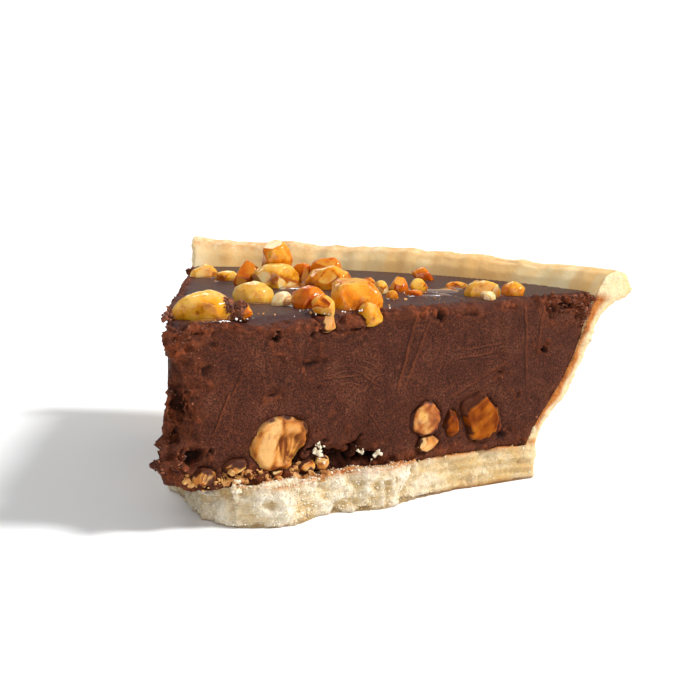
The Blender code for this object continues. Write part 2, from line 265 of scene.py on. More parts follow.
def mathNode(tree, operation, first, second=0.5):
    node = tree.nodes.new("ShaderNodeMath")
    node.operation = operation
    node.use_clamp = operation != "POWER"
    for socket, value in ((node.inputs[0], first), (node.inputs[1], second)):
        if isinstance(value, bpy.types.NodeSocket):
            tree.links.new(value, socket)
        else:
            socket.default_value = value
    return node.outputs[0]


def attributeNode(tree, name):
    return addNode(tree, "ShaderNodeAttribute", attribute_name=name).outputs["Fac"]


def bumpNode(tree, height, distance, strength=1.0, before=None):
    node = addNode(tree, "ShaderNodeBump", Distance=distance, Strength=strength)
    tree.links.new(height, node.inputs["Height"])
    if before:
        tree.links.new(before, node.inputs["Normal"])
    return node.outputs["Normal"]


# ---- floor, light and camera

stageLook = {
    "floorSize": 6.0, "floorColour": (0.93, 0.93, 0.93, 1), "fill": 0.34,
    "keyStrength": 3.8, "keyAngle": 16, "keyHeight": 42, "keyTurn": 7,
    "frontPower": 3.0, "frontSize": (0.7, 0.5), "frontDistance": 1.0, "frontHeight": 24,
    "backPower": 1.6, "backSize": (0.5, 0.22), "backDistance": 0.8,
}
cameraLook = {
    "place": (-107.6, -235.08, 78.19), "heading": 57.58, "pitch": 9.4, "roll": 0.38, "lens": 74.55,
}


def aimAt(thing, place, target):
    thing.location = place
    thing.rotation_euler = (Vector(target) - Vector(place)).to_track_quat("-Z", "Y").to_euler()


def areaLight(name, power, size, place, target, colour=(1, 1, 1)):
    light = bpy.data.lights.new(name, "AREA")
    light.energy = power
    light.color = colour
    light.shape = "RECTANGLE"
    light.size, light.size_y = size
    lamp = bpy.data.objects.new(name, light)
    bpy.context.scene.collection.objects.link(lamp)
    aimAt(lamp, place, target)


def makeStage():
    deselectAll()
    bpy.ops.mesh.primitive_plane_add(size=stageLook["floorSize"], location=(0, 0, 0))
    floor = bpy.context.object
    floor.name = "floor"
    material, tree, shader = startMaterial("paleFloor", Base_Color=stageLook["floorColour"], Roughness=0.9)
    shader.inputs["Specular IOR Level"].default_value = 0.0
    floor.data.materials.append(material)

    heading, pitch, roll = (math.radians(cameraLook[k]) for k in ("heading", "pitch", "roll"))
    look = Vector((math.cos(heading) * math.cos(pitch), math.sin(heading) * math.cos(pitch), -math.sin(pitch)))
    across = Vector((math.sin(heading), -math.cos(heading), 0))
    upward = across.cross(look)
    right = math.cos(roll) * across + math.sin(roll) * upward
    up = -math.sin(roll) * across + math.cos(roll) * upward
    camera = bpy.data.cameras.new("camera")
    camera.lens, camera.sensor_width, camera.clip_start = cameraLook["lens"], 36, 0.01
    viewer = bpy.data.objects.new("camera", camera)
    bpy.context.scene.collection.objects.link(viewer)
    turn = Matrix((right, up, -look)).transposed().to_4x4()
    viewer.matrix_world = Matrix.Translation(fromSlice(np.array(cameraLook["place"]))) @ turn
    bpy.context.scene.camera = viewer

    middle = Vector((0, 0, 0.02))
    ahead = Vector((look.x, look.y, 0)).normalized()

    def lampPlace(side, height, distance):
        # side is a level direction from the slice, height an angle in degrees
        raised = math.radians(height)
        return middle + (side * math.cos(raised) + Vector((0, 0, math.sin(raised)))) * distance

    keyTurn = math.radians(stageLook["keyTurn"])
    keySide = across * math.cos(keyTurn) - ahead * math.sin(keyTurn)
    key = bpy.data.lights.new("keyLight", "SUN")
    key.energy = stageLook["keyStrength"]
    key.angle = math.radians(stageLook["keyAngle"])
    keyLamp = bpy.data.objects.new("keyLight", key)
    bpy.context.scene.collection.objects.link(keyLamp)
    aimAt(keyLamp, lampPlace(keySide, stageLook["keyHeight"], 1.0), middle)
    areaLight("frontLight", stageLook["frontPower"], stageLook["frontSize"],
              lampPlace(-ahead, stageLook["frontHeight"], stageLook["frontDistance"]), middle)
    toBack = (Vector((look.x, look.y, 0)) * 0.75 - across * 0.25 + Vector((0, 0, 0.8))).normalized()
    areaLight("backLight", stageLook["backPower"], stageLook["backSize"],
              middle + toBack * stageLook["backDistance"], middle)

    world = bpy.data.worlds.new("whiteStudio")
    bpy.context.scene.world = world
    world.use_nodes = True
    tree = world.node_tree
    background = tree.nodes["Background"]
    background.inputs["Color"].default_value = (1, 1, 1, 1)
    # the backdrop burns out to white, while the fill light it gives stays soft
    path = tree.nodes.new("ShaderNodeLightPath")
    strength = tree.nodes.new("ShaderNodeMapRange")
    strength.inputs["To Min"].default_value = stageLook["fill"]
    strength.inputs["To Max"].default_value = 1.05
    tree.links.new(path.outputs["Is Camera Ray"], strength.inputs["Value"])
    tree.links.new(strength.outputs["Result"], background.inputs["Strength"])
    bpy.context.scene.view_settings.view_transform = "Standard"
    bpy.context.scene.view_settings.look = "None"
    print("stage, light and camera are set")


# ---- chocolate filling

chocolateLook = {
    "voxel": 0.0005, "smoothing": 2,
    "smooth": (0.066, 0.0175, 0.0078), "darker": (0.040, 0.0095, 0.0042),
    "lighter": (0.094, 0.029, 0.014), "top": (0.056, 0.019, 0.015),
    # the near-black tone below is painted shade in the pits, pores, crumbly hollows and knife grooves
    "fleck": (0.26, 0.092, 0.040), "crumbly": (0.27, 0.062, 0.019), "deep": (0.006, 0.0018, 0.0012),
    # valleys along the knife's path that are shallower than the solid's: start, end, width, rise
    "eased": [((57.5, 37.5), (51.5, 23.0), 2.4, 0.45), ((79.8, 38.8), (81.0, 20.0), 2.2, 0.50),
              ((84.6, 38.0), (84.0, 28.0), 2.0, 0.30)],
    # fine knife marks on the shown face: start, end (radius, height), width, strength
    "marks": [((57.9, 38.6), (52.0, 21.0), 1.5, 1.0), ((61.0, 37.8), (53.8, 22.0), 1.3, 0.7),
              ((85.2, 38.8), (85.6, 20.5), 1.4, 1.0), ((90.6, 38.8), (87.7, 23.5), 1.3, 0.6),
              ((18.3, 30.4), (15.6, 25.0), 1.0, 0.8), ((15.4, 26.4), (11.4, 17.6), 1.0, 0.9),
              ((45.6, 19.4), (50.2, 13.2), 0.9, 0.5), ((67.2, 27.8), (78.8, 28.6), 0.9, 0.8),
              ((69.6, 29.6), (80.2, 30.3), 0.8, 0.7), ((75.6, 28.6), (79.8, 29.4), 0.8, 0.7),
              ((65.8, 19.6), (83.0, 27.3), 1.2, 0.6), ((35.6, 26.7), (44.6, 26.6), 0.9, 0.8),
              ((44.4, 26.7), (48.6, 24.0), 0.9, 0.7)],
    # pits on the shown face: radius, height, half width, half height, depth
    "pits": [(25.2, 36.0, 0.9, 1.6, 1.3), (33.7, 36.4, 0.8, 1.1, 1.0), (33.0, 29.9, 1.2, 0.8, 0.7),
             (24.5, 24.8, 1.1, 0.6, 0.9), (63.4, 36.9, 1.5, 0.9, 0.9), (79.0, 24.4, 0.9, 0.6, 1.0),
             (90.5, 28.0, 0.8, 0.8, 1.4), (96.0, 37.6, 1.8, 1.3, 1.8), (83.6, 19.1, 0.6, 0.6, 0.7),
             (34.0, 17.0, 0.5, 0.5, 0.5), (8.8, 14.9, 1.8, 1.1, 1.6), (5.8, 14.9, 1.0, 0.8, 1.2),
             (5.8, 19.2, 1.0, 1.3, 1.3), (6.2, 24.0, 1.5, 1.8, 1.2), (10.2, 30.6, 0.8, 1.2, 0.7),
             (12.2, 35.4, 0.7, 0.6, 0.5), (43.0, 36.6, 2.0, 0.7, 0.5), (71.0, 37.0, 1.6, 0.6, 0.5),
             (19.6, 9.0, 1.9, 0.9, 0.9), (67.4, 13.4, 0.6, 1.0, 1.2), (80.2, 10.6, 1.9, 0.9, 0.9)],
    # the open hollow over the crust: radius, height, half width, half height, depth
    "cavity": [(35.8, 11.0, 3.2, 2.5, 4.6), (40.2, 10.4, 4.4, 2.3, 5.0), (45.0, 9.8, 3.4, 1.7, 4.0)],
    # arcs of fine smears: centre (radius, height), first ring, last ring, direction range in degrees
    "smears": [((41.2, 19.0), 5.0, 13.5, 0, 125)],
}


def wallRadius(z):
    # the crust's inner face, which the filling touches
    return np.interp(z, (8.0, 10.0, 13.2, 17.4, 21.2, 25.6, 31.0, 35.2, 38.8, 42.0, 44.4, 45.2),
                     (86.6, 87.6, 89.8, 93.2, 96.2, 98.9, 101.5, 103.5, 105.2, 106.6, 108.6, 111.2))


def outerRadius(z):
    return np.interp(z, (0.0, 5.6, 10.2, 14.3, 18.5, 24.4, 30.2, 33.7, 36.9, 38.1, 40.2, 43.6),
                     (89.3, 89.3, 90.2, 93.8, 97.8, 101.3, 103.9, 106.6, 109.7, 113.8, 115.2, 114.2))


def sliceSides(p, n):
    # how far each point is inside the two cut planes, and how squarely it faces out of them
    insideA, insideB = p[:, 1], p[:, 0] * sinB - p[:, 1] * cosB
    outA, outB = -n[:, 1], -(n[:, 0] * sinB - n[:, 1] * cosB)
    return insideA, insideB, outA, outB


def pitDepths(p, r, z, pits):
    # how deep the pits go, and a weight for the crumbly rims round them
    total, rims = np.zeros(len(r)), np.zeros(len(r))
    wobble = np.clip(1 + 0.8 * softNoise(p, 1.4, 72) + 0.6 * softNoise(p, 0.7, 73), 0.4, 2)
    for pitR, pitZ, half, halfHigh, depth in pits:
        gap = np.hypot((r - pitR) / half, (z - pitZ) / halfHigh) * wobble
        total += depth * (1 - ramp(gap, 0.3, 1.05))
        rims = np.maximum(rims, hill(gap, 1.2, 0.5))
    return total, rims


def smearRegion(r, z, look):
    region = np.zeros(len(r))
    for (centreR, centreZ), first, last, low, high in look["smears"]:
        ring = np.hypot(r - centreR, z - centreZ)
        angle = np.degrees(np.arctan2(z - centreZ, r - centreR))
        inside = ramp(angle, low, low + 30) * (1 - ramp(angle, high - 30, high))
        region += inside * ramp(ring, first, first + 2) * (1 - ramp(ring, last - 3, last))
    return region


def wornDip(x, insideA):
    # how far the top's front edge is worn down
    return 0.9 * ramp(x, 15, 21) * (1 - ramp(x, 43, 47)) * (1 - ramp(insideA, 1.2, 5.0))


def nearSetNuts(p):
    near = np.zeros(len(p), dtype=bool)
    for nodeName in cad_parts:
        if "_cut_" in nodeName or "_rear_" in nodeName or nodeName in ("nut_edge_chip", "nut_large_chip"):
            low, high = (toSlice(np.array(corner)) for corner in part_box(nodeName))
            near |= np.all((p > low - 0.8) & (p < high + 0.8), axis=1)
    return near


def makeChocolate():
    look = chocolateLook
    body = copyOfNode("filling", "chocolateFilling")
    refine(body, look["voxel"], look["smoothing"])
    p, n = toSlice(readPoints(body)), readNormals(body)
    insideA, insideB, outA, outB = sliceSides(p, n)
    x, y, z = p.T
    reach = np.hypot(x, y)
    onA = ramp(outA, 0.2, 0.6) * (1 - ramp(insideA, 4.5, 7))
    onB = ramp(outB, 0.2, 0.6) * (1 - ramp(insideB, 4.5, 7))
    onTip = 1 - ramp(reach, 6.5, 10)
    onCut = np.clip(onA + onB + onTip * (z < fillingTop - 0.4), 0, 1)
    onTop = ramp(n[:, 2], 0.6, 0.9) * ramp(z, 38.2, 38.9)
    hiddenWall = ramp(reach, wallRadius(z) - 1.4, wallRadius(z) - 0.9) * (1 - onCut) * (1 - onTop)

    # crumbly weight: top edges, tip, the corner by the rim, the torn foot and the rims of pits
    pits, rims = pitDepths(p, x, z, look["pits"])
    cavity, cavityRims = pitDepths(p, x, z, look["cavity"])
    edge = np.minimum(insideA, insideB)
    nearTopEdge = ramp(z, 36.4, 38.6) * (1 - ramp(edge, 1.4, 3.0))
    patchy = 0.6 + 0.7 * softNoise(p, 5.0, 5) + 0.25 * softNoise(p, 1.8, 6)
    corner = ramp(reach, 88, 93) * ramp(z, 31, 36)
    crumbly = 0.95 * nearTopEdge + 0.95 * (1 - ramp(reach, 6.0, 11.5)) + 1.1 * corner
    crumbly += 0.7 * (1 - ramp(z, 9.2, 11.2)) + 0.35 * ramp(reach, wallRadius(z) - 2.0, wallRadius(z) - 0.8)
    crumbly = crumbly * patchy * 1.1 + onA * (0.7 * rims + 0.5 * cavityRims)
    crumbly = np.clip(crumbly, 0, 1) * np.clip(onCut + nearTopEdge, 0, 1)

    push = 0.09 * softNoise(p, 3.0, 1) + 0.05 * softNoise(p, 1.1, 2)
    push *= 0.3 + 0.7 * onCut
    some = crumbly > 0.02
    rough = np.zeros(len(p))
    rough[some] = tornNoise(p[some], 2.4, 31) + 0.7 * tornNoise(p[some], 1.1, 37) + 0.5 * lumpNoise(p[some], 1.4, 33) - 0.85
    push += (0.60 + 0.45 * corner) * crumbly * rough
    # the tip is torn, and a chunk with two ragged ends hangs off it
    torn = onTip * (z < fillingTop) * (0.7 + 0.5 * hill(z, 14.0, 5.0))
    push += torn * (0.9 * tornNoise(p, 3.2, 81) + 0.5 * tornNoise(p, 1.4, 82) - 1.15)
    ends = 2.0 * hill(z, 16.8, 1.2) + 2.8 * hill(z, 13.2, 1.3) - 1.3 * hill(z, 15.0, 0.7)
    ends += 1.5 * hill(z, 35.0, 5.5) - 3.6 * hill(z, 21.5, 4.6)
    push += (1 - ramp(reach, 4.5, 8.5)) * ends * (0.8 + 0.5 * softNoise(p, 1.8, 83))
    for start, end, width, rise in look["eased"]:
        push += onA * rise * hill(lineDistance(x, z, start, end), 0, width)
    push -= onA * (pits + cavity)
    # the chocolate closes round the nuts that are set in it
    push += 0.34 * (1 - onCut) * nearSetNuts(p)
    push += onA * 0.26 * rims * (1 + softNoise(p, 0.9, 74))
    # small chance pores over both cuts
    pores = ramp(lumpNoise(p, 4.2, 43) + 0.08 * softNoise(p, 0.9, 45), 0.90, 0.97) * (0.2 + 0.8 * softNoise(p, 9.0, 44))
    push -= onCut * 0.8 * np.clip(pores, 0, 1)
    push += 0.38 * hiddenWall
    moved = p + n * push[:, None]
    # the rubbed top edge rises and dips
    moved[:, 2] += nearTopEdge * (0.55 * softNoise(p * (1, 1, 0), 4.5, 91) + 0.3 * softNoise(p, 1.6, 92))
    moved[:, 2] -= wornDip(x, insideA) * ramp(z, 35, 38)
    moved[:, 2] -= 0.35 * (1 - ramp(moved[:, 2], 8.4, 8.9)) * (moved[:, 2] < 8.9)
    writePoints(body, fromSlice(moved))
    paint(body, "crumbly", crumbly)
    paint(body, "topFace", onTop * (1 - crumbly))
    # painted shade in the recesses: the pits, the pores and the open hollow over the crust are darkened
    paint(body, "pitShade", onA * (np.clip(pits, 0, 1) * 0.8 + np.clip(cavity * 0.9, 0, 1)) + onCut * np.clip(pores, 0, 1) * 0.5)
    paint(body, "shown", onA * (1 - crumbly))
    # painted shade in the hollows between the crumbly lumps
    paint(body, "hollow", onCut * ramp(-rough, 0.1, 1.6) * crumbly * 0.8)
    paint(body, "smear", onCut * smearRegion(np.where(onB > onA, x * cosB + y * sinB, x), z, look))
    smoothShade(body)
    finishPiece(body, chocolateMaterial(), "chocolate", "filling")
    print("chocolate filling:", len(body.data.polygons), "faces")
    return moved, n, crumbly


def smearLines(tree, centre, wave):
    # thin broken rings round a point of the shown face
    place = addNode(tree, "ShaderNodeTexCoord").outputs["Object"]
    shift = addNode(tree, "ShaderNodeMapping", Location=-fromSlice(np.array((centre[0], 0.0, centre[1]))))
    tree.links.new(place, shift.inputs["Vector"])
    rings = addNode(tree, "ShaderNodeTexWave", wave_type="RINGS", rings_direction="SPHERICAL",
                    Scale=0.314 / wave, Distortion=5.0, Detail=3.0)
    rings.inputs["Detail Scale"].default_value = 0.35
    tree.links.new(shift.outputs["Vector"], rings.inputs["Vector"])
    lines = rampNode(tree, rings.outputs["Fac"], [(0.84, grey(0)), (1.0, grey(1))])
    broken = rampNode(tree, noiseNode(tree, 0.0055, detail=3), [(0.46, grey(0)), (0.58, grey(1))])
    return mathNode(tree, "MULTIPLY", lines, broken)


def knifeMark(tree, mark, wobble):
    # 0.5 away from a straight mark, lower along its groove and higher along its edge
    start, end, width, strength = mark
    dx, dz = end[0] - start[0], end[1] - start[1]
    length = math.hypot(dx, dz)
    place = addNode(tree, "ShaderNodeTexCoord").outputs["Object"]
    turned = addNode(tree, "ShaderNodeMapping", vector_type="TEXTURE", Rotation=(0, -math.atan2(dz, dx), 0),
                     Location=fromSlice(np.array((start[0], 0.0, start[1]))), Scale=(length * mm, 1, width * mm))
    tree.links.new(place, turned.inputs["Vector"])
    axes = tree.nodes.new("ShaderNodeSeparateXYZ")
    tree.links.new(turned.outputs["Vector"], axes.inputs["Vector"])
    across = tree.nodes.new("ShaderNodeMath")
    across.operation = "MULTIPLY_ADD"
    tree.links.new(axes.outputs["Z"], across.inputs[0])
    across.inputs[1].default_value = 0.5
    tree.links.new(wobble, across.inputs[2])
    low, high = 0.5 - 0.5 * strength, 0.5 + 0.5 * strength
    profile = rampNode(tree, across.outputs[0], [(0.22, grey(0.5)), (0.42, grey(low)), (0.58, grey(high)), (0.80, grey(0.5))])
    along = rampNode(tree, axes.outputs["X"], [(0.0, grey(0)), (0.07, grey(1)), (0.80, grey(1)), (1.0, grey(0))])
    return mixColour(tree, along, grey(0.5), profile)


def chocolateMaterial():
    look = chocolateLook
    material, tree, shader = startMaterial("setChocolate")
    shader.inputs["Specular IOR Level"].default_value = 0.10
    crumbly, topFace = attributeNode(tree, "crumbly"), attributeNode(tree, "topFace")
    mottle = noiseNode(tree, 0.005, detail=7, roughness=0.7)
    colour = rampNode(tree, mottle, [(0.30, look["darker"]), (0.54, look["smooth"]), (0.72, look["lighter"])])
    grain = noiseNode(tree, 0.00036, detail=3, roughness=0.75)
    grainTone = rampNode(tree, grain, [(0.35, grey(0.34)), (0.50, grey(1.0)), (0.65, grey(2.1))])
    colour = mixColour(tree, 1.0, colour, grainTone, "MULTIPLY")
    flecks = rampNode(tree, noiseNode(tree, 0.0011, detail=4, roughness=0.7), [(0.62, grey(0)), (0.74, grey(0.55))])
    colour = mixColour(tree, flecks, colour, look["fleck"])
    colour = mixColour(tree, topFace, colour, look["top"])
    specks = rampNode(tree, noiseNode(tree, 0.0010, detail=3), [(0.38, grey(0)), (0.66, grey(1))])
    reddish = mixColour(tree, specks, tuple(c * 0.30 for c in look["crumbly"]), look["crumbly"])
    spots = rampNode(tree, noiseNode(tree, 0.0042, detail=4), [(0.40, grey(0.45)), (0.56, grey(1))])
    colour = mixColour(tree, mathNode(tree, "MULTIPLY", crumbly, spots), colour, reddish)
    # painted shade in the crumbly hollows
    colour = mixColour(tree, attributeNode(tree, "hollow"), colour, look["deep"])

    # knife marks: grey 0.5 where there are none, lower in the grooves and higher along the edges; the grooves get
    # painted shade and the edges a painted highlight
    wobble = addNode(tree, "ShaderNodeMapRange")
    wobble.inputs["To Min"].default_value, wobble.inputs["To Max"].default_value = 0.25, 0.75
    tree.links.new(noiseNode(tree, 0.006, detail=4, roughness=0.6), wobble.inputs["Value"])
    marks = None
    for mark in look["marks"]:
        one = knifeMark(tree, mark, wobble.outputs["Result"])
        marks = mixColour(tree, 1.0, marks, one, "OVERLAY") if marks else one
    marks = mixColour(tree, attributeNode(tree, "shown"), grey(0.5), marks)
    patchy = rampNode(tree, noiseNode(tree, 0.0030, detail=3), [(0.36, grey(0.35)), (0.56, grey(1))])
    # painted highlight along the marks' edges and painted shade in their grooves
    edgeHighlight = mathNode(tree, "MULTIPLY", rampNode(tree, marks, [(0.52, grey(0)), (0.92, grey(0.32))]), patchy)
    grooveShade = rampNode(tree, marks, [(0.05, grey(0.35)), (0.48, grey(0))])
    colour = mixColour(tree, grooveShade, colour, look["deep"])
    colour = mixColour(tree, edgeHighlight, colour, look["crumbly"])
    lines = mathNode(tree, "MULTIPLY", smearLines(tree, look["smears"][0][0], 0.0012), attributeNode(tree, "smear"))
    colour = mixColour(tree, mathNode(tree, "MULTIPLY", lines, 0.35), colour, look["fleck"])
    # painted shade in the pits, pores and open hollow
    colour = mixColour(tree, attributeNode(tree, "pitShade"), colour, look["deep"])
    tree.links.new(colour, shader.inputs["Base Color"])
    roughness = rampNode(tree, topFace, [(0.0, grey(0.60)), (1.0, grey(0.36))])
    tree.links.new(roughness, shader.inputs["Roughness"])
    normal = bumpNode(tree, grain, 0.00022, 1.0)
    normal = bumpNode(tree, noiseNode(tree, 0.0014, detail=3), 0.00030, 0.8, normal)
    normal = bumpNode(tree, lines, 0.00015, 0.8, normal)
    normal = bumpNode(tree, marks, 0.00045, 0.7, normal)
    tree.links.new(normal, shader.inputs["Normal"])
    return material


# ---- crumbs

def scatterOn(points, normals, weights, count, sizes, seed, lift=0.25):
    # random places on a surface, more where the weight is high, with a size for each
    draw = np.random.default_rng(seed)
    chance = weights / weights.sum()
    chosen = draw.choice(len(points), size=count, replace=False, p=chance)
    low, high = sizes
    grain = low + (high - low) * draw.random(count) ** 2.4
    return [(points[i] + normals[i] * grain[k] * lift, grain[k]) for k, i in enumerate(chosen)]


def makeCrumbs(name, spots, material, slotName, seed):
    # one angular crumb shape at many sizes and turns, joined in one piece
    draw = random.Random(seed)
    bm = bmesh.new()
    for place, size in spots:
        turn = Matrix.Rotation(draw.uniform(0, 6.28), 4, Vector((draw.uniform(-1, 1), draw.uniform(-1, 1), 0.4)))
        shape = Matrix.Diagonal((size * mm, size * mm * draw.uniform(0.55, 0.95), size * mm * draw.uniform(0.45, 0.9), 1))
        made = bmesh.ops.create_icosphere(bm, subdivisions=2 if size > 1.1 else 1, radius=0.5)
        centre = Vector(fromSlice(np.array(place)))
        breaks = [Vector((draw.gauss(0, 1), draw.gauss(0, 1), draw.gauss(0, 1))).normalized() for _ in range(4)]
        for vert in made["verts"]:
            local = vert.co * draw.uniform(0.75, 1.2)
            for direction in breaks:
                local -= direction * max(0.0, local.dot(direction) - 0.22)
            vert.co = centre + (turn @ shape @ local)
    mesh = bpy.data.meshes.new(name)
    bm.to_mesh(mesh)
    bm.free()
    piece = bpy.data.objects.new(name, mesh)
    bpy.context.scene.collection.objects.link(piece)
    finishPiece(piece, material, slotName)
    print(name + ":", len(mesh.polygons), "faces")
    return piece


def crumbMaterial(name, dark, light, roughness, size=0.0012):
    material, tree, shader = startMaterial(name, Roughness=roughness)
    tone = rampNode(tree, noiseNode(tree, size, detail=3), [(0.35, dark), (0.65, light)])
    tree.links.new(tone, shader.inputs["Base Color"])
    normal = bumpNode(tree, noiseNode(tree, size * 0.4, detail=3), 0.0001, 0.8)
    tree.links.new(normal, shader.inputs["Normal"])
    return material


# ---- crust

crustLook = {
    "voxel": 0.00053, "smoothing": 2,
    "cream": (0.69, 0.54, 0.33), "butter": (0.56, 0.37, 0.14), "powder": (0.82, 0.73, 0.57), "inner": (0.90, 0.72, 0.43),
    "honey": (0.52, 0.27, 0.065), "gold": (0.88, 0.51, 0.17), "pale": (0.95, 0.67, 0.31), "light": (0.96, 0.79, 0.48),
    "toast": (0.36, 0.095, 0.012), "caramel": (0.56, 0.20, 0.035), "burntAndShade": (0.22, 0.085, 0.018), "deeper": (0.84, 0.85, 0.90), "edge": (0.78, 0.38, 0.13),
}


def makeCrust():
    look = crustLook
    body = copyOfNode("crust", "shortCrust")
    refine(body, look["voxel"], look["smoothing"])
    p, n = toSlice(readPoints(body)), readNormals(body)
    insideA, insideB, outA, outB = sliceSides(p, n)
    x, y, z = p.T
    reach = np.hypot(x, y)
    flatness = np.abs(n[:, 2])
    onCut = np.maximum(ramp(outA, 0.25, 0.6) * (1 - ramp(insideA, 6, 9)), ramp(outB, 0.25, 0.6) * (1 - ramp(insideB, 8, 11)))
    onTip = (1 - ramp(reach, 20, 26)) * (1 - ramp(flatness, 0.5, 0.8))
    onCut = np.clip(onCut + onTip, 0, 1)
    onBase = 1 - ramp(reach, 88, 90)
    # the strip of the base's top that shows in front of the filling
    ledge = (z > 4) * ramp(n[:, 2], 0.5, 0.8) * onBase * (1 - ramp(np.minimum(insideA, insideB), 1.5, 3.0))
    rough = np.clip(onCut + 0.7 * ledge, 0, 1)
    # near the tip the base crumbles, near the wall it stays in layers
    loose = (1 - ramp(reach + 9 * softNoise(p, 11.0, 141), 56, 74)) * onBase

    push = 0.10 * softNoise(p, 2.6, 101)
    some = rough > 0.02
    lumps = np.zeros(len(p))
    lumps[some] = 0.8 * softNoise(p[some] * (1, 1, 1.4), 4.2, 111) + 0.7 * tornNoise(p[some], 2.6, 117)
    lumps[some] += 0.6 * lumpNoise(p[some], 1.6, 119) + 0.8 * lumpNoise(p[some], 1.0, 120) - 0.65
    push += rough * lumps * np.where(onBase > 0.5, 0.38 + 0.52 * loose, 0.40)
    layers = np.sin(z * 2.9 + 1.3 * softNoise(p * (1, 1, 0.3), 9.0, 121) + 0.7 * softNoise(p, 2.4, 122))
    push += 0.20 * onCut * onBase * (1 - 0.8 * loose) * layers
    # pieces of the base have snapped off, and its foot is worn back
    snapped = ramp(softNoise(p * (1, 1, 1.7), 6.5, 131), 0.12, 0.55)
    push -= onCut * loose * 1.2 * snapped
    push -= onCut * onBase * (1 - ramp(z, 0.2, 1.5)) * (0.35 + 0.5 * softNoise(p * (1, 1, 0), 2.6, 133))
    # the rim was pinched by hand, so its top dips and swells
    along = np.arctan2(y, x) * 112
    pinched = softNoise(np.stack([along, z * 0, z * 0], axis=1), 9.0, 161) + 0.4 * softNoise(np.stack([along, z * 0, z * 0], axis=1), 3.5, 162)
    lift = 0.6 * pinched * ramp(z, 37.0, 43.0) * (1 - onCut)
    push += 0.30 * pinched * ramp(z, 24.0, 40.0) * (1 - onCut) * (reach < wallRadius(z) + 1.5)
    # fine cracks and pits in the baked skin
    skin = (1 - onCut) * (reach > wallRadius(z) + 1.0) * (z > 0.6)
    bakedAndShade = tornNoise(p * (1, 1, 1.6), 3.4, 171) + 0.5 * tornNoise(p, 1.5, 173)
    push += skin * (0.07 * bakedAndShade - 0.16 * ramp(lumpNoise(p, 3.2, 175), 0.80, 0.95))
    underside = (z < 0.35) & (flatness > 0.7)
    push = np.where(underside, 0, push)
    moved = p + n * push[:, None]
    moved[:, 2] = np.where(underside, p[:, 2], np.maximum(moved[:, 2] + lift, 0.0))
    writePoints(body, fromSlice(moved))

    wallShare = (reach - wallRadius(z)) / np.maximum(outerRadius(z) - wallRadius(z), 1.0)
    inside = np.minimum(insideA, insideB)
    baseSeam = 1.2 * hill(z, 8.3, 1.1) * onCut + 1.5 * ledge * ramp(inside, -2.2, -0.2)
    seam = np.where(onBase > 0.5, baseSeam, 1.9 * hill(wallShare, 0.08, 0.50) * np.clip(onCut * 1.5, 0, 1) * (1 - ramp(z, 37, 40)))
    onWall = ramp(reach + 3 * softNoise(p, 4.0, 153), 83, 93)
    angle = np.arctan2(y, x) * 100
    bands = softNoise(np.stack([angle, z * 0.12, z * 0], axis=1), 5.5, 151)
    paint(body, "cutFace", onCut + 0.9 * ledge)
    paint(body, "seam", seam * (0.75 + 0.45 * softNoise(p, 3.0, 152)))
    # the foot is darkened: partly its baked underside, partly painted contact shadow along the floor
    paint(body, "foot", (1 - ramp(z, 0.3, 1.2)) * (1 - 0.6 * loose) * onBase)
    paint(body, "powder", (0.25 + 1.1 * lumps) * loose * (1 - 0.5 * snapped))
    paint(body, "buttery", (1 - loose) * (1 - onWall))
    paint(body, "wallCut", onWall * onCut)
    paint(body, "skinEdge", hill(wallShare, 1.0, 0.3) * (1 - onBase) * onCut)
    paint(body, "rimTop", ramp(z, 42.6, 45.3))
    paint(body, "bands", 0.5 + 0.5 * bands)
    paint(body, "bakedAndShade", skin * (0.5 - 0.4 * bakedAndShade))
    # painted shade weight, rising with the angle towards the far cut
    paint(body, "turned", ramp(np.degrees(np.arctan2(y, x)), 12, 50) * (1 - onCut))
    paint(body, "outside", ramp(wallShare, 0.4, 0.7) * (1 - onCut) * (1 - onBase * 0.5))
    smoothShade(body)
    finishPiece(body, crustMaterial(), "pastry", "crust")
    print("crust:", len(body.data.polygons), "faces")
    return moved, n, onCut, ledge


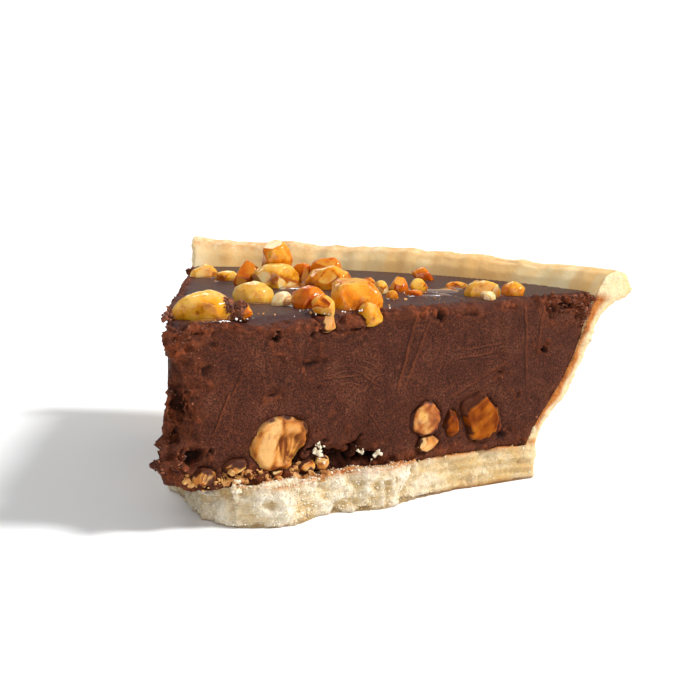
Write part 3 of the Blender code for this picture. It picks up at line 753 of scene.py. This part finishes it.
def crustMaterial():
    look = crustLook
    material, tree, shader = startMaterial("bakedShortCrust", Roughness=0.78)
    shader.inputs["Specular IOR Level"].default_value = 0.3
    shader.inputs["Subsurface Weight"].default_value = 0.25
    shader.inputs["Subsurface Radius"].default_value = (1.0, 0.6, 0.3)
    shader.inputs["Subsurface Scale"].default_value = 0.0014
    broad = noiseNode(tree, 0.014, detail=5, roughness=0.6)
    fine = noiseNode(tree, 0.0020, detail=5, roughness=0.7)
    # skin of the wall and rim
    skin = rampNode(tree, broad, [(0.34, look["gold"]), (0.50, look["pale"]), (0.68, look["light"])])
    bands = rampNode(tree, attributeNode(tree, "bands"), [(0.30, grey(0.70)), (0.48, grey(0.20)), (0.66, grey(0))])
    skin = mixColour(tree, bands, skin, look["gold"])
    skin = mixColour(tree, mathNode(tree, "MULTIPLY", attributeNode(tree, "outside"), 0.6), skin, look["gold"])
    freckles = rampNode(tree, noiseNode(tree, 0.0038, detail=6, roughness=0.7), [(0.46, grey(0)), (0.66, grey(0.6))])
    skin = mixColour(tree, mathNode(tree, "MULTIPLY", attributeNode(tree, "outside"), freckles), skin, look["honey"])
    skin = mixColour(tree, mathNode(tree, "MULTIPLY", attributeNode(tree, "bakedAndShade"), 0.30), skin, look["honey"])
    rimTone = rampNode(tree, fine, [(0.42, look["edge"]), (0.66, look["light"])])
    skin = mixColour(tree, mathNode(tree, "MULTIPLY", attributeNode(tree, "rimTop"), 0.7), skin, rimTone)
    # painted shade: the skin is darkened towards the far cut, where the key light falls most strongly on the rim
    bakedAndShade = mixColour(tree, attributeNode(tree, "turned"), (1.0, 1.0, 1.0), look["deeper"])
    skin = mixColour(tree, 1.0, skin, bakedAndShade, "MULTIPLY")
    # inside of the pastry
    layered = noiseNode(tree, 0.0050, detail=5, roughness=0.65, stretch=(0.4, 0.4, 2.4))
    crumb = rampNode(tree, layered, [(0.38, look["butter"]), (0.58, look["cream"])])
    golden = rampNode(tree, noiseNode(tree, 0.0060, detail=5, roughness=0.7, stretch=(0.5, 0.5, 1.5)),
                      [(0.36, look["honey"]), (0.50, look["butter"]), (0.62, look["cream"])])
    crumb = mixColour(tree, mathNode(tree, "MULTIPLY", attributeNode(tree, "buttery"), 0.8), crumb, golden)
    crumb = mixColour(tree, attributeNode(tree, "powder"), crumb, look["powder"])
    crumb = mixColour(tree, mathNode(tree, "MULTIPLY", attributeNode(tree, "wallCut"), 0.75), crumb, look["inner"])
    grain = rampNode(tree, noiseNode(tree, 0.0007, detail=4, roughness=0.7), [(0.36, grey(0.84)), (0.60, grey(1.06))])
    crumb = mixColour(tree, 1.0, crumb, grain, "MULTIPLY")
    colour = mixColour(tree, attributeNode(tree, "cutFace"), skin, crumb)
    colour = mixColour(tree, mathNode(tree, "MULTIPLY", attributeNode(tree, "skinEdge"), 0.5), colour, look["gold"])
    seamTone = rampNode(tree, fine, [(0.40, look["toast"]), (0.60, look["caramel"])])
    colour = mixColour(tree, attributeNode(tree, "seam"), colour, seamTone)
    # the foot is darkened: partly its baked underside, partly painted contact shadow along the floor
    colour = mixColour(tree, mathNode(tree, "MULTIPLY", attributeNode(tree, "foot"), 0.8), colour, look["burntAndShade"])
    tree.links.new(colour, shader.inputs["Base Color"])
    normal = bumpNode(tree, fine, 0.0003, 0.5)
    sandy = mathNode(tree, "MULTIPLY", noiseNode(tree, 0.0010, detail=4, roughness=0.7), attributeNode(tree, "cutFace"))
    normal = bumpNode(tree, sandy, 0.0005, 0.8, normal)
    tree.links.new(normal, shader.inputs["Normal"])
    return material


# ---- hazelnuts

nutLooks = {
    # light colour, middle, deep colour (partly painted shade low on the nuts), broken faces, roughness, clear glaze,
    # shine, fine bump
    "pale": ((0.76, 0.46, 0.10), (0.70, 0.31, 0.012), (0.32, 0.075, 0.001), (0.74, 0.54, 0.25), 0.20, 0.35, 0.16, 0.10),
    "amber": ((0.74, 0.36, 0.035), (0.68, 0.20, 0.002), (0.24, 0.038, 0.001), (0.70, 0.40, 0.09), 0.20, 0.35, 0.16, 0.10),
    "orange": ((0.66, 0.22, 0.010), (0.56, 0.105, 0.001), (0.20, 0.022, 0.001), (0.68, 0.30, 0.04), 0.20, 0.35, 0.16, 0.10),
    "cream": ((0.80, 0.67, 0.43), (0.72, 0.50, 0.22), (0.46, 0.20, 0.045), (0.82, 0.70, 0.48), 0.50, 0.05, 0.20, 0.40),
    "flesh": ((0.66, 0.38, 0.14), (0.52, 0.20, 0.035), (0.20, 0.050, 0.007), (0.72, 0.45, 0.19), 0.60, 0.00, 0.15, 0.60),
    "skin": ((0.66, 0.36, 0.11), (0.38, 0.115, 0.022), (0.14, 0.028, 0.008), (0.60, 0.30, 0.09), 0.50, 0.00, 0.15, 0.40),
    "brown": ((0.38, 0.115, 0.006), (0.25, 0.055, 0.002), (0.14, 0.024, 0.001), (0.40, 0.13, 0.012), 0.55, 0.00, 0.06, 0.30),
}
nutDress = {
    "nut_tip": "pale", "nut_tip_half": "amber", "nut_glossy": "pale", "nut_glossy_chip": "cream",
    "nut_back_base": "pale", "nut_back_left": "orange", "nut_back_right": "orange", "nut_back_peak": "amber",
    "nut_middle": "orange", "nut_large": "amber", "nut_edge_chip": "amber", "nut_cut_chip_middle": "flesh",
    "nut_large_chip": "amber", "nut_far_low": "amber", "nut_far_top": "orange", "nut_far_chip": "amber",
    "nut_cluster_left": "pale", "nut_cluster_middle": "orange", "nut_cluster_right": "pale",
    "nut_cluster_small": "amber", "nut_amber_flat": "orange", "nut_back_small": "orange",
    "nut_film_chip": "amber", "nut_arch": "pale", "nut_arch_chip": "cream", "nut_amber": "amber",
    "nut_corner_slice": "pale", "nut_corner_flat": "pale", "nut_cut_edge": "flesh",
    "nut_cut_large": "flesh", "nut_cut_skin": "skin", "nut_cut_skin_low": "flesh", "nut_cut_sliver": "brown",
    "nut_cut_amber": "brown", "nut_cut_chip_left": "flesh", "nut_cut_chip_right": "flesh",
    "nut_cut_bit_a": "flesh", "nut_cut_bit_b": "flesh",
    "nut_rear_large": "flesh", "nut_rear_round": "brown", "nut_rear_chip": "flesh",
}
# nuts with chocolate smeared over part of them: the noise level it starts at
smearedNuts = {"nut_cut_bit_a": 0.05, "nut_cut_bit_b": 0.30, "nut_cut_chip_left": 0.05, "nut_cut_chip_middle": 0.05,
               "nut_cut_edge": 0.05, "nut_large_chip": 0.05, "nut_tip_half": 0.05}
# how many flat breaks a nut has, where it isn't five
nutFlats = {"nut_tip": 0, "nut_glossy": 2, "nut_large": 3, "nut_middle": 3, "nut_arch": 2, "nut_amber": 2, "nut_back_base": 4}
# torn hollows in cut kernels: centre (radius, height), half width, depth
nutHollows = {"nut_cut_large": (28.6, 13.9, 3.9, 1.1), "nut_rear_large": (34.8, 14.2, 3.4, 0.9)}
# outlines in the shown face, past which chocolate is smeared over the kernel
nutOutlines = {
    "nut_cut_large": [(19.8, 13.4), (20.6, 17.2), (23.0, 19.4), (26.0, 20.2), (30.4, 19.6), (33.0, 15.6), (32.0, 11.4), (23.0, 9.6)],
    "nut_cut_skin": [(56.2, 15.6), (55.8, 20.0), (59.4, 20.4), (64.0, 19.0), (64.3, 15.0), (60.8, 12.6), (57.2, 12.6)],
    "nut_cut_sliver": [(64.2, 12.8), (65.4, 17.8), (68.3, 16.8), (68.0, 12.2)],
    "nut_cut_amber": [(69.2, 15.7), (71.0, 17.2), (77.3, 20.4), (78.0, 17.8), (78.7, 14.4), (77.5, 12.1), (75.2, 10.4), (72.8, 10.7), (70.7, 12.9)],
}


def nutMaterial(name, look):
    high, middle, deep, broken, roughness, glaze, shine, fineBump = look
    material, tree, shader = startMaterial(name, Roughness=roughness)
    shader.inputs["Coat Weight"].default_value = glaze
    shader.inputs["Coat Roughness"].default_value = 0.05
    shader.inputs["Specular IOR Level"].default_value = shine
    shader.inputs["Subsurface Weight"].default_value = 0.65
    shader.inputs["Subsurface Radius"].default_value = (1.0, 0.45, 0.06)
    shader.inputs["Subsurface Scale"].default_value = 0.0034
    blotch = noiseNode(tree, 0.0034, detail=5, roughness=0.62, distortion=0.8)
    mixed = mathNode(tree, "ADD", mathNode(tree, "MULTIPLY", attributeNode(tree, "ridge"), 0.62), mathNode(tree, "MULTIPLY", blotch, 0.8))
    # the ridge weight carries painted shade low on the nuts on top, so the deep end of this ramp is partly painted
    # shade
    colour = rampNode(tree, mixed, [(0.42, deep), (0.62, middle), (0.90, high)])
    dabs = rampNode(tree, noiseNode(tree, 0.0013, detail=4, roughness=0.7), [(0.54, grey(0)), (0.68, grey(0.45))])
    colour = mixColour(tree, dabs, colour, deep)
    pulp = rampNode(tree, noiseNode(tree, 0.0022, detail=5, roughness=0.65), [(0.34, middle), (0.52, broken)])
    colour = mixColour(tree, attributeNode(tree, "broken"), colour, pulp)
    colour = mixColour(tree, attributeNode(tree, "smudge"), colour, chocolateLook["smooth"])
    tree.links.new(colour, shader.inputs["Base Color"])
    normal = bumpNode(tree, noiseNode(tree, 0.0007, detail=4, roughness=0.6), 0.0002, fineBump)
    tree.links.new(normal, shader.inputs["Normal"])
    return material


def outsideOutline(r, z, outline):
    # distance outside a convex outline that runs clockwise
    worst = np.full(len(r), -99.0)
    for (r0, z0), (r1, z1) in zip(outline, outline[1:] + outline[:1]):
        dr, dz = r1 - r0, z1 - z0
        worst = np.maximum(worst, ((z - z0) * dr - (r - r0) * dz) / math.hypot(dr, dz))
    return worst


def chopFlats(p, seed, count, keep):
    # flattens the nut against a few planes; also gives how far inside a flat each point is
    draw = np.random.default_rng(seed)
    inside = np.full(len(p), -99.0)
    for _ in range(count):
        direction = draw.normal(size=3)
        direction /= np.linalg.norm(direction)
        along = p @ direction
        over = along - np.quantile(along, draw.uniform(*keep))
        p = p - np.clip(over, 0, None)[:, None] * direction
        inside = np.maximum(inside, over)
    return p, inside


def dressNut(number, nodeName, kind, materials):
    nut = copyOfNode(nodeName, nodeName.replace("nut_", "hazelnut_"))
    low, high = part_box(nodeName)
    size = max(high[k] - low[k] for k in range(3))
    refine(nut, max(0.00016, size / 44), 1)
    p, n = toSlice(readPoints(nut)), readNormals(nut)
    seed = 200 + number * 3
    onTop = "cut" not in nodeName and "rear" not in nodeName
    bulk = min(1.0, size / mm / 9)
    lumps = softNoise(p, 3.6, seed) * 0.22 + softNoise(p, 1.6, seed + 1) * 0.10
    creases = lumpNoise(p, 3.4, seed + 2)
    torn = tornNoise(p, 3.0, seed + 3)
    push = bulk * (lumps + 0.20 * (creases - 0.45) - 0.12 * torn) + 0.04 * softNoise(p, 0.7, seed + 5) + 0.14
    ridge = 0.46 + 0.8 * (creases - 0.45) + 0.4 * lumps - 0.16 * torn
    shadeByHeight = (p[:, 2] - p[:, 2].min()) / (p[:, 2].max() - p[:, 2].min())
    r = p[:, 0] if "rear" not in nodeName else p[:, 0] * cosB + p[:, 1] * sinB
    z = p[:, 2]
    smudge = np.zeros(len(p))
    if onTop:
        # painted light and shade: nuts on top are lighter towards their tops and darker towards their feet
        ridge = ridge * 0.75 + 0.40 * shadeByHeight
    else:
        # torn fibres run through the kernel where the knife broke it
        tilted = np.stack([0.8 * r + 0.6 * z, p[:, 1], 0.8 * z - 0.6 * r], axis=1)
        fibres = softNoise(tilted * (0.6, 1.0, 2.4), 1.7, seed + 7)
        ridge += 0.20 * fibres
        push += 0.16 * bulk * fibres
    if nodeName in nutHollows:
        centreR, centreZ, half, depth = nutHollows[nodeName]
        gap = np.hypot(r - centreR, z - centreZ) / half * (1 + 0.2 * softNoise(p, 2.0, seed + 8))
        hollow = 1 - ramp(gap, 0.55, 1.05)
        # fibres fan out of the hollow's lower edge
        angle = np.arctan2(z - centreZ + half, r - centreR + 0.4 * half)
        fan = tornNoise(np.stack([angle * 9, 0.25 * (r + z), z * 0], axis=1), 1.0, seed + 9)
        push += hollow * (0.22 * fan - depth)
        ridge += hollow * (0.26 * fan - 0.26)
    if nodeName == "nut_cut_large":
        # the kernel's whole half is pale, and a brown seam parts it from the broken half
        seamAt = np.interp(z, (11.3, 14.4, 17.0, 19.5), (24.1, 24.9, 26.5, 26.0)) + 0.5 * softNoise(p, 2.0, seed + 11)
        ridge += 0.20 * (1 - ramp(r, seamAt - 0.8, seamAt)) - 0.30 * hill(r, seamAt + 0.5, 0.8) - 0.10 * ramp(r, seamAt, seamAt + 0.8)
    if nodeName == "nut_cut_skin":
        ridge += 0.46 * hill(r, 59.3 - 0.5 * (z - 16) + softNoise(p, 2.2, seed + 10), 1.9) - 0.16
    if nodeName in nutOutlines:
        past = outsideOutline(r, z, nutOutlines[nodeName]) + 0.35 * softNoise(p, 1.3, seed + 12)
        smudge = ramp(past, -0.15, 0.25)
        ridge -= 0.25 * hill(past, -0.5, 0.5)
        push += smudge * (0.45 - 0.95 * ramp(-n[:, 1], 0.3, 0.9))
    if not onTop and nodeName != "nut_cut_large":
        # chocolate is dragged over the kernel's edge here and there
        outward = -n[:, 1] if "cut" in nodeName else n[:, 1] * cosB - n[:, 0] * sinB
        dragged = 0.75 * (1 - ramp(outward, 0.55, 0.97)) + 0.55 * softNoise(p, 1.9, seed + 15) + 0.25 * softNoise(p, 0.8, seed + 16)
        smudge = np.maximum(smudge, ramp(dragged, 0.50, 0.70))
    if nodeName in smearedNuts:
        level = smearedNuts[nodeName]
        spread = softNoise(p, 2.4, seed + 13) + 0.4 * softNoise(p, 0.9, seed + 14)
        smudge = np.maximum(smudge, ramp(spread, level, level + 0.3))
    p = p + n * push[:, None]
    if onTop or size / mm < 6:
        p, inside = chopFlats(p, seed + 20, nutFlats.get(nodeName, 5), (0.86, 0.97))
        broken = ramp(inside, 0.02, 0.22) * ramp(softNoise(p, 5.0, seed + 21), -0.25, 0.15)
        ridge -= 0.35 * hill(inside, 0.0, 0.16)
    else:
        broken = np.zeros(len(p))
    if onTop:
        # sunk a little, so that the flat underside never shows
        sink = 0.9 * (1 - ramp(p[:, 2], fillingTop, fillingTop + 0.8))
        p[:, 2] -= sink * (p[:, 2] < fillingTop + 0.8)
    writePoints(nut, fromSlice(p))
    paint(nut, "ridge", ridge)
    paint(nut, "broken", broken)
    paint(nut, "smudge", smudge)
    smoothShade(nut)
    finishPiece(nut, materials[kind], "nut", nodeName)
    return nut


def makeNuts():
    materials = {kind: nutMaterial(kind + "Nut", look) for kind, look in nutLooks.items()}
    faces, atTip = 0, []
    for number, (nodeName, kind) in enumerate(nutDress.items()):
        nut = dressNut(number, nodeName, kind, materials)
        faces += len(nut.data.polygons)
        if nodeName in ("nut_tip", "nut_tip_half"):
            atTip.append(nut)
    print("hazelnuts:", len(nutDress), "pieces,", faces, "faces")
    return atTip


# ---- caramel glaze that pools round the nuts

glazeLook = {
    "thickness": 0.70,
    # pools: centre (x, y), radius
    "pools": [(13.0, 3.0, 6.8), (33.5, 23.0, 6.2), (36.5, 16.0, 3.6), (39.5, 10.5, 4.8), (44.5, 4.0, 6.6), (50.0, 45.0, 7.5),
              (56.0, 45.0, 6.0), (60.0, 36.5, 8.2), (52.0, 40.0, 5.0), (64.0, 24.0, 4.6), (69.5, 23.0, 5.2), (74.0, 21.5, 4.6),
              (78.0, 18.0, 4.2), (82.0, 21.0, 4.4), (68.0, 15.5, 4.0), (73.0, 13.0, 3.2), (80.0, 8.0, 5.6), (86.5, 7.0, 3.8),
              (60.2, 13.0, 2.4), (86.0, 38.6, 3.8), (44.8, 67.6, 4.2), (45.6, 59.6, 4.6), (48.5, 52.0, 4.6), (66.5, 33.5, 3.6)],
}


def poolField(x, y, look):
    field = np.zeros_like(x)
    for px, py, radius in look["pools"]:
        field += np.exp(-(((x - px) ** 2 + (y - py) ** 2) / (radius * 0.72) ** 2) * 1.2)
    flat = np.stack([x.ravel(), y.ravel(), x.ravel() * 0], axis=1)
    return field - 0.42 + (0.20 * softNoise(flat, 3.2, 301) + 0.08 * softNoise(flat, 1.2, 302)).reshape(x.shape)


def makeGlaze():
    look = glazeLook
    deselectAll()
    bpy.ops.mesh.primitive_grid_add(x_subdivisions=270, y_subdivisions=250, size=1)
    film = bpy.context.object
    film.name = "caramelGlaze"
    p = readPoints(film)
    x, y = (p[:, 0] + 0.5) * 96 + 0.5, (p[:, 1] + 0.5) * 84 - 1.5
    field = poolField(x, y, look)
    inside = np.minimum(y, x * sinB - y * cosB)
    field = np.minimum(field, (inside - 2.4 + 0.8 * softNoise(np.stack([x.ravel(), y.ravel(), x.ravel() * 0], axis=1), 4.0, 303).reshape(x.shape)) * 0.4)
    height = look["thickness"] * (1 - np.exp(-1.6 * np.clip(field, -0.2, 2))) - 0.06 - wornDip(x, y)
    p = np.stack([x, y, fillingTop + 0.02 + height], axis=1)
    writePoints(film, fromSlice(p))
    bm = bmesh.new()
    bm.from_mesh(film.data)
    bm.verts.ensure_lookup_table()
    outside = [v for v in bm.verts if field[v.index] < -0.06]
    bmesh.ops.delete(bm, geom=outside, context="VERTS")
    bm.to_mesh(film.data)
    bm.free()
    applyModifier(film, "SMOOTH", factor=0.5, iterations=3)
    rise = toSlice(readPoints(film))[:, 2] - fillingTop
    paint(film, "thick", ramp(rise, 0.12, 0.55))

    def closeBelow():
        bpy.ops.mesh.extrude_region_move(TRANSFORM_OT_translate={"value": (0, 0, -0.0003)})
        bpy.ops.mesh.select_all(action="SELECT")
        bpy.ops.mesh.normals_make_consistent(inside=False)

    editMesh(film, closeBelow)
    smoothShade(film)
    material, tree, shader = startMaterial("caramelGlaze", Roughness=0.10)
    shader.inputs["Coat Weight"].default_value = 1.0
    shader.inputs["Coat Roughness"].default_value = 0.04
    varied = mathNode(tree, "ADD", mathNode(tree, "MULTIPLY", attributeNode(tree, "thick"), 0.7),
                      mathNode(tree, "MULTIPLY", noiseNode(tree, 0.004, detail=4), 0.5))
    tone = rampNode(tree, varied, [(0.25, (0.085, 0.030, 0.020)), (0.55, (0.20, 0.072, 0.018)), (0.95, (0.52, 0.23, 0.05))])
    tree.links.new(tone, shader.inputs["Base Color"])
    tree.links.new(bumpNode(tree, noiseNode(tree, 0.0016, detail=2), 0.0002, 0.4), shader.inputs["Normal"])
    finishPiece(film, material, "nut")
    print("caramel glaze:", len(film.data.polygons), "faces")


# ---- the whole slice

def makeScatter(chocolate, crust, atTip):
    p, n, crumbly = chocolate
    brown = crumbMaterial("chocolateCrumb", (0.060, 0.015, 0.006), (0.290, 0.078, 0.024), 0.7)
    spots = scatterOn(p, n, crumbly ** 2.5, 1100, (0.25, 0.9), 11, lift=0.0)
    chunk = crumbly * hill(p[:, 2], 14.0, 4.0) * (np.hypot(p[:, 0], p[:, 1]) < 8)
    spots += scatterOn(p, n, chunk + 1e-9, 60, (0.4, 1.2), 12, lift=0.0)
    cornerHeap = crumbly * hill(p[:, 0], 99.0, 5.0) * hill(p[:, 2], 37.0, 3.5) * (p[:, 1] < 4)
    spots += scatterOn(p, n, cornerHeap + 1e-9, 130, (0.4, 1.5), 16, lift=0.10)
    # a smear of crumbs lies where the nuts at the tip meet, and a few clumps stand behind them
    for nut in atTip:
        q, m = toSlice(readPoints(nut)), readNormals(nut)
        near = hill(np.hypot(q[:, 0] - 18.0, q[:, 1] - 3.0), 0, 2.3) ** 2 * (q[:, 2] > fillingTop) + 1e-14
        spots += scatterOn(q, m, near, 190, (0.6, 1.5), 15, lift=0.10)
    draw = random.Random(14)
    for _ in range(50):
        t = draw.gauss(11.0, 1.6)
        place = (t * cosB + 1.6 + draw.gauss(0, 0.5), t * sinB - 0.6 + draw.gauss(0, 0.4), 39.4 + abs(draw.gauss(0, 0.9)))
        spots.append((place, draw.uniform(0.5, 1.4)))
    makeCrumbs("chocolateCrumbs", spots, brown, "chocolate", 13)

    q, m, onCut, ledge = crust
    fromBase = (np.hypot(q[:, 0], q[:, 1]) < 88) & (q[:, 2] > 0.6)
    white = crumbMaterial("pastryCrumb", (0.64, 0.51, 0.30), (0.84, 0.77, 0.62), 0.85)
    sandy = np.clip(onCut + ledge, 0, 1) * fromBase * (0.06 + ramp(66 - np.hypot(q[:, 0], q[:, 1]), 0, 30))
    spots = scatterOn(q, m, sandy + 1e-9, 3600, (0.25, 0.9), 21, lift=0.05)
    # clusters of larger flakes stand in the torn foot: middle, spread, how many
    draw = random.Random(23)
    flakes = []
    for (fx, fy, fz), spread, count in (((34.5, 0.0, 13.4), 0.8, 18), ((35.2, 0.2, 12.2), 0.6, 8), ((44.4, 0.6, 11.6), 0.6, 7),
                                        ((48.2, 0.2, 10.6), 0.9, 12), ((16.0, -0.7, 8.4), 0.9, 18)):
        flakes += [((fx + draw.gauss(0, 0.7) * spread, fy + draw.gauss(0, 0.3), fz + draw.gauss(0, 1) * spread),
                    draw.uniform(0.5, 1.4)) for _ in range(count)]
    makeCrumbs("pastryCrumbs", spots + flakes, white, "pastry", 22)

    # chopped nut dust along the foot of the filling, and on its top
    draw = random.Random(31)
    atFoot = (n[:, 1] < -0.3) * (p[:, 1] < 3) * hill(p[:, 2], 9.6, 1.5) * ramp(p[:, 0], 6, 9) * (1 - ramp(p[:, 0], 32, 39))
    foot = scatterOn(p, n, atFoot + 1e-12, 210, (0.35, 2.3), 34, lift=0.05)
    # slivers of nut that hang over the crust's edge
    foot += [((25.5, -0.5, 8.6), 2.4), ((25.2, -0.6, 7.7), 2.0), ((31.6, -0.7, 7.9), 2.5), ((32.6, -0.6, 8.8), 2.0),
             ((35.2, -0.6, 7.6), 2.6), ((35.8, -0.6, 8.5), 2.2), ((15.2, -0.4, 11.4), 2.2), ((9.4, -0.5, 10.6), 2.1)]
    top = [((draw.uniform(10, 90), draw.uniform(1, 12), fillingTop + 0.2), draw.uniform(0.35, 0.9)) for _ in range(50)]
    chopped = crumbMaterial("choppedNut", (0.30, 0.085, 0.009), (0.70, 0.38, 0.11), 0.6, size=0.0016)
    makeCrumbs("nutCrumbs", foot + top, chopped, "nut", 32)

    sugar = crumbMaterial("sugarGrain", (0.72, 0.66, 0.60), (0.84, 0.80, 0.76), 0.4)
    around = [(35.2, 5.0), (39.5, 0.6), (44.3, 0.8), (53.0, 8.4), (16.3, 0.4), (34.5, 0.4), (49.0, 0.8), (20.5, 0.6)]
    grains = [((gx + draw.gauss(0, 1.4), max(0.2, gy + draw.gauss(0, 0.8)), fillingTop + draw.uniform(0.0, 0.4)), draw.uniform(0.30, 0.85))
              for gx, gy in around for _ in range(3)]
    makeCrumbs("sugarGrains", grains, sugar, "nut", 33)


makeStage()
chocolate = makeChocolate()
crust = makeCrust()
atTip = makeNuts()
makeGlaze()
makeScatter(chocolate, crust, atTip)
